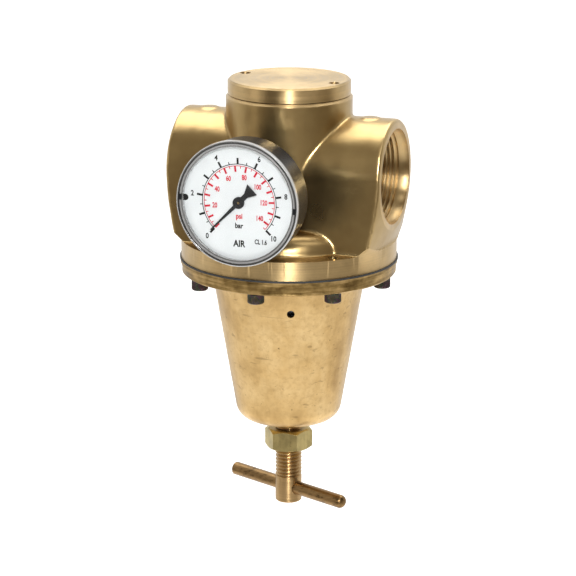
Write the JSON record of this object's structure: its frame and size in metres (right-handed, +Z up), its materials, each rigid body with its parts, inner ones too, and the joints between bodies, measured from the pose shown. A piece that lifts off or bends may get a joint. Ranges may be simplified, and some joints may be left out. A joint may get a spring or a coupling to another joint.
{
  "type": "air pressure regulator",
  "caption": "Brass diaphragm pressure regulator with large threaded ports, round front gauge, flanged spring bonnet below and a tommy-bar adjusting spindle.",
  "frame": {"origin": "crossing of the port line and the valve axis", "axes": "+X towards the outlet port along the port line, +Z up along the valve axis towards the cap, and the gauge faces -Y"},
  "size_m": [0.114, 0.1348, 0.227],
  "materials": {
    "cast_brass": "cast and burnished, with turned faces",
    "turned_brass": "satin turned",
    "nut_brass": "satin milled",
    "bronze": "drawn bar, lightly tarnished",
    "zinc_steel": "zinc plated",
    "dark_zinc": "dark iridescent zinc plating",
    "spring_steel": "oil tempered wire",
    "spring_bronze": "rolled",
    "black_rubber": "matt",
    "white_seal": "matt",
    "black_plastic": "satin moulded",
    "clear_plastic": "clear, polished",
    "white_dial": "matt white with printed scale",
    "black_paint": "matt black"
  },
  "bodies": {
    "housing": {"housing": "cast_brass", "top_cap": "turned_brass", "cap_o_ring": "black_rubber", "guide_o_ring": "black_rubber", "valve_spring": "spring_steel", "valve_seat": "turned_brass", "stem_guide": "turned_brass", "diaphragm": "black_rubber", "control_spring": "spring_steel", "bonnet": "cast_brass", "flange_screws": "dark_zinc", "rear_plug": "turned_brass", "rear_seal": "white_seal", "gauge_seal": "white_seal", "gauge_socket": "turned_brass", "gauge_case": "black_plastic", "gauge_window": "clear_plastic", "gauge_dial": "white_dial", "hairspring": "spring_bronze", "bourdon_tube": "spring_bronze", "tube_tip": "turned_brass", "movement_back_plate": "turned_brass", "movement_front_plate": "turned_brass", "movement_pillars": "turned_brass", "movement_screws": "zinc_steel"},
    "valve": {"valve_poppet": "turned_brass", "seat_disc": "black_rubber"},
    "diaphragm_stack": {"upper_plate": "zinc_steel", "lower_plate": "zinc_steel", "diaphragm_bolt": "zinc_steel", "diaphragm_nut": "zinc_steel"},
    "spring_seat": {"spring_seat": "zinc_steel", "thrust_ball": "spring_steel"},
    "spindle": {"spindle": "bronze", "tommy_bar": "bronze"},
    "lock_nut": {"lock_nut": "nut_brass"},
    "pointer": {"pointer": "black_paint", "pointer_pinion": "turned_brass"},
    "sector": {"sector_gear": "turned_brass"},
    "link": {"gauge_link": "turned_brass"}
  },
  "joints": [
    {"name": "spindle_feed", "type": "slide", "parent": "housing", "child": "spring_seat", "axis": [0, 0, 1], "range_m": [0, 0.014], "deforming": ["control_spring"]},
    {"name": "spindle_turn", "type": "hinge", "parent": "spring_seat", "child": "spindle", "pos_m": [0, 0, -0.15], "axis": [0, 0, 1], "range_deg": [0, 2521]},
    {"name": "lock_nut_turn", "type": "hinge", "parent": "housing", "child": "lock_nut", "pos_m": [0, 0, -0.1448], "axis": [0, 0, 1], "range_deg": [-360, 504]},
    {"name": "diaphragm_lift", "type": "slide", "parent": "housing", "child": "diaphragm_stack", "axis": [0, 0, 1], "range_m": [0, 0.004], "deforming": ["diaphragm"]},
    {"name": "valve_lift", "type": "slide", "parent": "housing", "child": "valve", "axis": [0, 0, 1], "range_m": [0, 0.004], "stiffness_N_per_m": 1500, "springref_m": -0.004, "deforming": ["valve_spring"]},
    {"name": "sector_swing", "type": "hinge", "parent": "housing", "child": "sector", "pos_m": [0, -0.067, -0.01735], "axis": [0, 1, 0], "range_deg": [-33.75, 0], "stiffness_Nm_per_rad": 0.01, "springref_deg": 2.86},
    {"name": "pointer_sweep", "type": "hinge", "parent": "housing", "child": "pointer", "pos_m": [0, -0.07, -0.0016], "axis": [0, 1, 0], "range_deg": [0, 270]},
    {"name": "link_swing", "type": "hinge", "parent": "sector", "child": "link", "pos_m": [0.00194, -0.067, -0.02459], "axis": [0, 1, 0], "range_deg": [0, 33.75]}
  ],
  "couplings": [
    {"joint": "spindle_turn", "follows": "spindle_feed", "rad_per_m": 3141.6},
    {"joint": "valve_lift", "follows": "diaphragm_lift", "ratio": 1},
    {"joint": "pointer_sweep", "follows": "sector_swing", "ratio": -8},
    {"joint": "link_swing", "follows": "sector_swing", "ratio": -1}
  ]
}
